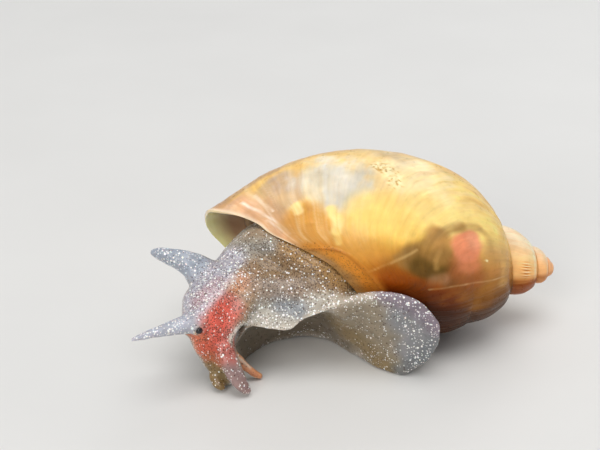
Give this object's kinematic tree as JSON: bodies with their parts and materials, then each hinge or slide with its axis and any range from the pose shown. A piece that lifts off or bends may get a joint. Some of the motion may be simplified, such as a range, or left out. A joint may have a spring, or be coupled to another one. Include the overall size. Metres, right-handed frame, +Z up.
{
  "type": "pond snail",
  "caption": "Life-size still pond snail crawling, swollen last whorl with a flared lip and a short spire, head lowered, tentacles spread, foot rim folded up.",
  "frame": {"origin": "centre of the bounding box, at the floor under the foot", "axes": "+Z up, +X along the length towards the apex of the shell, the head towards -X, the snail's left side towards -Y"},
  "size_m": [0.0294, 0.018, 0.0133],
  "materials": {
    "shell": "translucent golden horn, glossy, with fine growth lines",
    "skin": "wet grey translucent skin with white specks, red over the head",
    "eye": "glossy black"
  },
  "bodies": {
    "root": {"shell_spire": "shell", "shell_body_whorl": "shell", "shell_lip": "shell", "head": "skin", "neck": "skin", "tentacle_left": "skin", "tentacle_right": "skin", "oral_lobe_left": "skin", "oral_lobe_right": "skin", "mouth": "skin", "foot_corner": "skin", "foot_front": "skin", "foot_middle": "skin", "foot_tail": "skin", "eye_left": "eye", "eye_right": "eye"}
  },
  "joints": []
}
